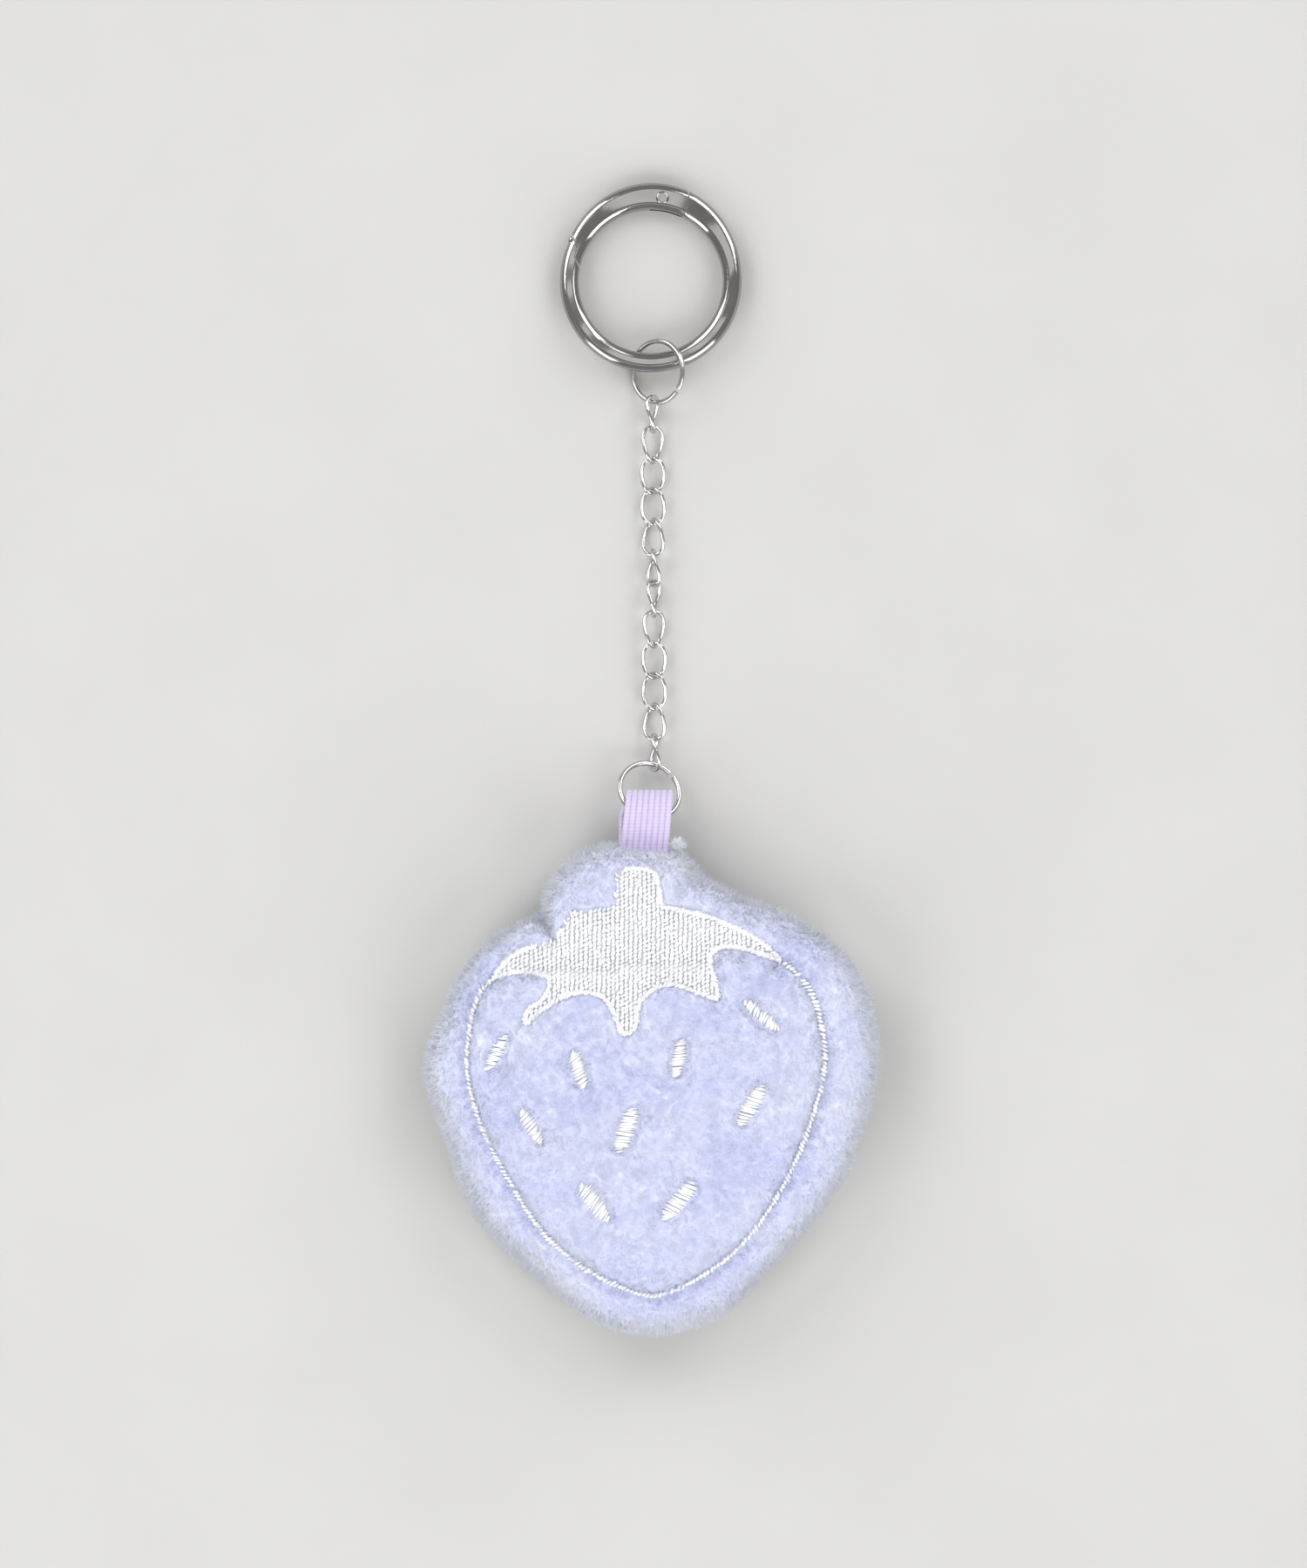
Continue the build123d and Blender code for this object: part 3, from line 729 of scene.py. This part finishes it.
def seed_segments(x, y, length, width, lean):
    a = math.radians(lean)
    up = np.array([math.sin(a), math.cos(a)])
    across = np.array([math.cos(a), -math.sin(a)])
    segments = []
    for t in np.arange(-length / 2 + 0.15, length / 2 - 0.1, 0.31):
        chord = width / 2 * math.sqrt(max(0.0, 1 - abs(2 * t / length) ** 2.6))
        chord = max(chord, 0.42) * (1.04 + 0.12 * rng.standard_normal())
        middle = np.array([x, y]) + up * t
        slant = up * 0.32
        start = middle - across * chord - slant + jog(0.08)
        end = middle + across * chord + slant + jog(0.08)
        segments.append((start, end))
    return segments


def leaf_fill_segments():
    """Columns of short slanted stitches, each over the foot of the next, filling the leaf."""
    segments = []
    low, high = leaf.min(0), leaf.max(0)
    pitch, step = 0.66, 0.62
    for column, x in enumerate(np.arange(low[0] + 0.2, high[0], pitch)):
        offset = (column % 2) * step / 2 + rng.uniform(-0.1, 0.1)
        y = np.arange(low[1] - step, high[1] + step, step) + offset
        middle = np.column_stack([np.full(len(y), x) + 0.05 * np.sin(y * 0.9 + column), y])
        for p in middle[leaf_depth(middle) > 0.12]:
            lean = 0.20 + 0.06 * rng.standard_normal()
            reach = np.array([lean, 0.33 + 0.04 * rng.standard_normal()])
            segments.append((p - reach + jog(0.05), p + reach + jog(0.05)))
    return segments


def leaf_border_segments():
    """A raised satin line round the leaf, thin where the pile hides its upper left edge."""
    line = curve_through(LEAF, 0.30, closed=True)
    ahead = np.roll(line, -1, axis=0) - np.roll(line, 1, axis=0)
    ahead /= np.linalg.norm(ahead, axis=1)[:, None]
    side = np.stack([-ahead[:, 1], ahead[:, 0]], axis=1)
    segments = []
    for p, t, s in zip(line, ahead, side):
        if p[0] < -3.9 and p[1] > -27.5 and rng.random() < 0.75:
            continue
        half_width = 0.40 + 0.07 * rng.standard_normal()
        reach = s * half_width + t * 0.34
        segments.append((p - reach + jog(0.06), p + reach + jog(0.06)))
    return segments


stitches("outline_stitches", outline_segments(), 0.23, 0.18, 0.66, WHITE, "outline_embroidery")
stitches("leaf_fill_stitches", leaf_fill_segments(), 0.265, 0.17, 0.38, WHITE, "leaf_embroidery")
stitches("leaf_border_stitches", leaf_border_segments(), 0.19, 0.16, 0.55, WHITE, "leaf_embroidery")
for number, seed in enumerate(SEEDS, start=1):
    stitches(
        f"seed_stitches_{number}", seed_segments(*seed), 0.155, 0.14, 0.45, WHITE, f"seed_embroidery_{number}"
    )


# ---------------------------------------------------------------- pile
def fibres(name, root, direction, n, length, radius, mat, node):
    """Tapered three-sided hairs, shaded mostly like the cloth they stand on."""
    count = len(root)
    tip = root + direction * length[:, None] + n * 0.05
    tip[:, 2] = np.maximum(tip[:, 2], 0.06)
    side = np.cross(direction, rng.standard_normal((count, 3)))
    side /= np.linalg.norm(side, axis=1)[:, None]
    other = np.cross(direction, side)
    r = radius[:, None]
    base = root - n * 0.1
    a = base + side * r
    b = base - side * r * 0.5 + other * r * 0.87
    d = base - side * r * 0.5 - other * r * 0.87
    verts = np.stack([a, b, d, tip], axis=1).reshape(-1, 3)
    verts[:, 2] = np.maximum(verts[:, 2], 0.03)
    k = np.arange(count)[:, None] * 4
    faces = np.concatenate([k + [0, 2, 1], k + [0, 1, 3], k + [1, 2, 3], k + [2, 0, 3]])
    obj = make_object(name, verts, faces)
    obj.data.materials.append(mat)
    if len(obj.data.vertices) == len(verts):
        spread = np.stack([side, -side, -other, direction], axis=1).reshape(-1, 3)
        soft = np.repeat(n, 4, axis=0) + 0.35 * spread
        soft /= np.linalg.norm(soft, axis=1)[:, None]
        obj.data.normals_split_custom_set_from_vertices([tuple(v) for v in soft])
    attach(obj, "berry")
    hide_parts(node)


def pile(obj, count, name, node):
    """Short fibres combed towards the berry's tip; longer and more ruffled round the rim, and paler there as
    a painted highlight.
    """
    corners, normals, areas = surface_of(obj)
    pick = rng.choice(len(areas), size=count, p=areas / areas.sum())
    u, v = rng.random(count), rng.random(count)
    over = u + v > 1
    u[over], v[over] = 1 - u[over], 1 - v[over]
    c = corners[pick]
    root = c[:, 0] + (c[:, 1] - c[:, 0]) * u[:, None] + (c[:, 2] - c[:, 0]) * v[:, None]
    n = normals[pick]
    if node == "front_panel":
        xy = root[:, :2]
        bare = (distance_to(xy, outline) < 0.26) | (leaf_depth(xy) > 0.08) | (seed_depth(xy) > 0.2)
        bare &= root[:, 2] > SEAM_Z + 3
        root, n = root[~bare], n[~bare]
    count = len(root)
    rim = smooth(0.93, 0.45, np.abs(n[:, 2]))
    parted = smooth(0.9, 0.4, distance_to(root, seam, closed=True)) * low_left_share(root[:, 0], root[:, 1])
    stands = rng.random(count) > 0.9 * parted
    root, n, rim = root[stands], n[stands], rim[stands]
    count = len(root)
    outside = smooth(1.0, 4.5, distance_to(root[:, :2], outline)) * ~inside(root[:, :2], outline)
    tuft = rough(root, 1.6, 6.0)
    sideways = rough(root, 7.0, 8.0) * 0.4
    combed = rough(root, 8.0, 9.0) * 0.25 - 0.50
    swirl = np.column_stack([sideways, combed, np.zeros(count)])
    ruffle = np.column_stack([rough(root, 1.3, seed) for seed in (11.0, 12.0, 13.0)])
    swirl += 0.5 * rim[:, None] * ruffle
    direction = n + swirl + (0.26 + 0.18 * rim)[:, None] * rng.standard_normal((count, 3))
    direction /= np.linalg.norm(direction, axis=1)[:, None]
    length = rng.uniform(0.55, 1.10, count) * (1 + 0.55 * rim + 0.15 * tuft)
    length *= 1 - 0.6 * (np.abs(root[:, 0] + 0.6) < 3.8) * (root[:, 1] > -14.2)
    radius = rng.uniform(0.045, 0.075, count)
    # Paler fibres: a few at random and more on the tufts, and, as a painted highlight, many more round the
    # rim and in the band outside the line.
    pale = rng.random(count) < 0.10 + 0.24 * outside + 0.58 * rim + 0.14 * tuft
    for part, mat, ending in ((~pale, PILE, ""), (pale, PILE_PALE_AND_PAINTED_HIGHLIGHT, "_pale_and_painted_highlight")):
        fibres(name + ending, root[part], direction[part], n[part], length[part], radius[part], mat, node)


def painted_shade_ticks():
    """Painted shade in the gaps of the pile: small dark ticks outside the line and round the seeds' ends."""
    starts, ends = [], []
    line = even_points(outline, 0.55)
    ahead = np.gradient(line, axis=0)
    ahead /= np.linalg.norm(ahead, axis=1)[:, None]
    away = np.stack([-ahead[:, 1], ahead[:, 0]], axis=1)
    middle = outline.mean(0)
    away *= np.sign(((line - middle) * away).sum(1))[:, None]
    for p, t, w in zip(line, ahead, away):
        if rng.random() < 0.35:
            continue
        start = p + w * rng.uniform(0.40, 0.80) + jog(0.10)
        starts.append(start)
        ends.append(start + w * rng.uniform(0.5, 1.25) + t * rng.uniform(-0.3, 0.45))
    for x, y, length, width, lean in SEEDS:
        a = math.radians(lean)
        up = np.array([math.sin(a), math.cos(a)])
        across = np.array([math.cos(a), -math.sin(a)])
        for turn in rng.uniform(0, 2 * math.pi, 13):
            way = across * math.cos(turn) * width / 2 + up * math.sin(turn) * length / 2
            start = np.array([x, y]) + way * 1.08
            starts.append(start)
            reach = across * math.copysign(rng.uniform(0.25, 0.6), math.cos(turn))
            ends.append(start + reach + up * jog(0.15)[0])
    starts, ends = np.array(starts), np.array(ends)
    share = np.linspace(0, 1, 6)
    xy = starts[:, None] + (ends - starts)[:, None] * share[None, :, None]
    z = height_at(xy.reshape(-1, 2)).reshape(len(starts), -1)
    level = z + 0.42 * np.sin(math.pi * share)[None] + 0.10
    paths = [np.column_stack([line, height]) for line, height in zip(xy, level)]
    verts, faces = tubes(paths, rng.uniform(0.06, 0.12, len(paths)), [0.05] * len(paths))
    obj = make_object("painted_shade_ticks", verts, faces)
    obj.data.materials.append(PILE_SHADE)
    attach(obj, "berry")
    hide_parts("front_panel")


def tab_tuft():
    """The elastic's frayed cut corner, sticking out of the seam on the right."""
    count = 420
    root = np.array([3.75, -12.9, SEAM_Z + 0.6]) + rng.standard_normal((count, 3)) * [0.42, 0.35, 0.35]
    n = np.tile([0.0, 0.0, 1.0], (count, 1))
    direction = np.array([0.45, 0.75, 0.45]) + 0.45 * rng.standard_normal((count, 3))
    direction /= np.linalg.norm(direction, axis=1)[:, None]
    length = rng.uniform(0.5, 1.3, count)
    fibres("tab_tuft", root, direction, n, length, np.full(count, 0.06), PILE_PALE_AND_PAINTED_HIGHLIGHT, "front_panel")


density = 1.0
pile(front_skin, int(FRONT_FIBRES * density), "front_pile", "front_panel")
pile(back_skin, int(BACK_FIBRES * density), "back_pile", "back_panel")
painted_shade_ticks()
tab_tuft()

for skin, node in ((front_skin, "front_panel"), (back_skin, "back_panel")):
    thick = skin.modifiers.new("cloth_thickness", "SOLIDIFY")
    thick.thickness = CLOTH_THICK * MM
    thick.offset = -1.0
    apply_modifiers(skin)
    skin.data.materials.clear()
    skin.data.materials.append(PLUSH)
    if node == "front_panel":
        bare_cloth(skin)
    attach(skin, "berry")
    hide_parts(node)

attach(inner, "berry")
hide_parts("stuffing", "embroidery_backing")
bpy.data.objects.remove(shell)


# ---------------------------------------------------------------- seam thread
def seam_stitches():
    """A row of stitches down in the crease between the panels, broken where the elastic comes out."""
    sample = 0.2
    paths = []
    full = even_points(np.concatenate([edge, edge[:1]]), sample)
    normals = np.gradient(full, axis=0)
    normals /= np.linalg.norm(normals, axis=1)[:, None]
    normals = np.stack([-normals[:, 1], normals[:, 0]], axis=1)
    if np.mean((full - full.mean(0)) * normals) < 0:
        normals = -normals
    near = np.array([SEAM_INSET[np.argmin(np.hypot(*(edge - p).T))] for p in full])
    inset = full - normals * (near + 0.25)[:, None]
    per = int(SEAM_STITCH / sample)
    for start in range(0, len(inset) - per, per):
        part = inset[start:start + per - 2]
        if abs(part[:, 0].mean() - ELASTIC_X) < 4.4 and part[:, 1].mean() > -16:
            continue
        arch = np.sin(np.linspace(0, math.pi, len(part)))
        sunk = part - normals[start:start + per - 2] * (0.25 * (1 - arch))[:, None]
        paths.append(np.column_stack([sunk, np.full(len(part), SEAM_Z) + 0.05 * arch]))
    verts, faces = tubes(paths, [0.16] * len(paths), [0.16] * len(paths))
    obj = make_object("seam_stitches", verts, faces)
    obj.data.materials.append(LAVENDER)
    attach(obj, "berry")
    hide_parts("seam_thread")


seam_stitches()


# ---------------------------------------------------------------- elastic loop
def elastic():
    """The ribbed strip, folded through the jump ring, leaning left towards the seam."""
    line = np.array([
        (-15.6, 8.45), (-13.6, 8.5), (-12.0, 8.6), (-10.4, 8.55), (-8.8, 8.35), (-7.3, 8.0), (-6.0, 7.35),
        (-5.15, 6.4), (-5.15, 5.3), (-5.9, 4.3), (-7.2, 3.9), (-8.6, 4.25), (-10.2, 5.3), (-11.6, 6.5),
        (-12.8, 7.35), (-14.2, 7.6), (-15.6, 7.6),
    ])
    line = curve_through(line, 0.22)
    ahead = np.gradient(line, axis=0)
    ahead /= np.linalg.norm(ahead, axis=1)[:, None]
    out_of = np.stack([-ahead[:, 1], ahead[:, 0]], axis=1)
    across = 64
    verts, faces = [], []
    count = len(line)
    turn = int(np.argmax(line[:, 0]))
    for i in range(count):
        down = np.clip((-5.0 - line[i, 0]) / 8.0, 0, 1)
        lean = -0.75 * down if i <= turn else -1.05 * min(1.0, 2.2 * down)
        squeeze = 1.0 - 0.03 * (1 - down)
        for face in (1, -1):
            for k in range(across + 1):
                s = k / across
                rib = abs(math.sin(math.pi * ELASTIC_RIBS * s)) ** 0.6
                thick = 0.10 + 0.34 * rib
                x = ELASTIC_X + lean + (s - 0.5) * ELASTIC_WIDTH * squeeze
                y, z = line[i] + out_of[i] * (face * thick)
                verts.append((x, y, z))
    ring = 2 * (across + 1)
    order = list(range(across + 1)) + [ring - 1 - k for k in range(across + 1)]
    for i in range(count - 1):
        for a, b in zip(order, order[1:] + order[:1]):
            faces.append((i * ring + a, i * ring + b, (i + 1) * ring + b, (i + 1) * ring + a))
    faces.append(tuple(order))
    faces.append(tuple((count - 1) * ring + k for k in reversed(order)))
    obj = make_object("elastic_strip", verts, faces)
    bm = bmesh.new()
    bm.from_mesh(obj.data)
    bmesh.ops.recalc_face_normals(bm, faces=bm.faces)
    bm.to_mesh(obj.data)
    bm.free()
    obj.data.materials.append(ELASTIC)
    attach(obj, "berry")
    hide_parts("elastic_loop")


elastic()


# ---------------------------------------------------------------- metal
def finish_node(name, mat):
    obj = nodes[name]
    obj.data.materials.clear()
    obj.data.materials.append(mat)
    for polygon in obj.data.polygons:
        polygon.material_index = 0


for name in ("gate_ring_body", "gate", "gate_hinge_pin"):
    finish_node(name, NICKEL)
for name in ("gate_plunger", "gate_spring"):
    finish_node(name, SPRING)
for name in nodes:
    if name.startswith("chain_link") or name.endswith("jump_ring"):
        finish_node(name, WIRE)


# ---------------------------------------------------------------- floor, light and camera
def floor():
    half_side = 2500
    corners = [(half_side * x, half_side * y, 0) for x, y in ((-1, -1), (1, -1), (1, 1), (-1, 1))]
    obj = make_object("floor", corners, [(0, 1, 2, 3)])
    mat, tree, shader = material("floor_pale")
    fine = noise_node(tree, 40, 2.0)
    pale = ramp(tree, fine, [(0.3, (0.578, 0.573, 0.552)), (0.7, (0.592, 0.587, 0.566))])
    tree.links.new(pale, shader.inputs["Base Color"])
    shader.inputs["Roughness"].default_value = 0.9
    shader.inputs["Specular IOR Level"].default_value = 0.1
    obj.data.materials.append(mat)


def softbox(name, azimuth, elevation, distance, width, height, power):
    light = bpy.data.lights.new(name, "AREA")
    light.shape = "RECTANGLE"
    light.size = width
    light.size_y = height
    light.energy = power
    obj = bpy.data.objects.new(name, light)
    bpy.context.scene.collection.objects.link(obj)
    a, e = math.radians(azimuth), math.radians(elevation)
    along = distance * math.cos(e)
    obj.location = (along * math.cos(a), along * math.sin(a), distance * math.sin(e))
    obj.rotation_euler = (-obj.location).to_track_quat("-Z", "Y").to_euler()


floor()
BOXES = (("box_ne", 48, 3.75), ("box_nw", 134, 4.05), ("box_sw", 226, 4.2), ("box_se", 313, 4.2))
SLITS = (("slit_north", 90), ("slit_south", 270))
for name, azimuth, power in BOXES:
    softbox(name, azimuth, elevation=36, distance=0.95, width=0.52, height=0.80, power=power)
for name, azimuth in SLITS:
    softbox(name, azimuth, elevation=75, distance=1.5, width=0.6, height=0.16, power=0.26)

world = bpy.data.worlds.new("studio")
bpy.context.scene.world = world
world.use_nodes = True
world.node_tree.nodes["Background"].inputs["Color"].default_value = (0.98, 0.985, 1.0, 1)
world.node_tree.nodes["Background"].inputs["Strength"].default_value = 0.38

camera = bpy.data.cameras.new("camera")
camera_object = bpy.data.objects.new("camera", camera)
bpy.context.scene.collection.objects.link(camera_object)
bpy.context.scene.camera = camera_object
CAMERA_HEIGHT = 1.4
FRAME_HEIGHT = 0.2308
FOCUS_HEIGHT = 0.004
SENSOR_HEIGHT = 24.0
camera_object.location = (0.0004, -0.0038, CAMERA_HEIGHT)
camera.sensor_fit = "VERTICAL"
camera.sensor_height = SENSOR_HEIGHT
camera.lens = SENSOR_HEIGHT * (CAMERA_HEIGHT - FOCUS_HEIGHT) / FRAME_HEIGHT
camera.clip_start = 0.01
camera.clip_end = 20
bpy.context.scene.view_settings.view_transform = "Standard"
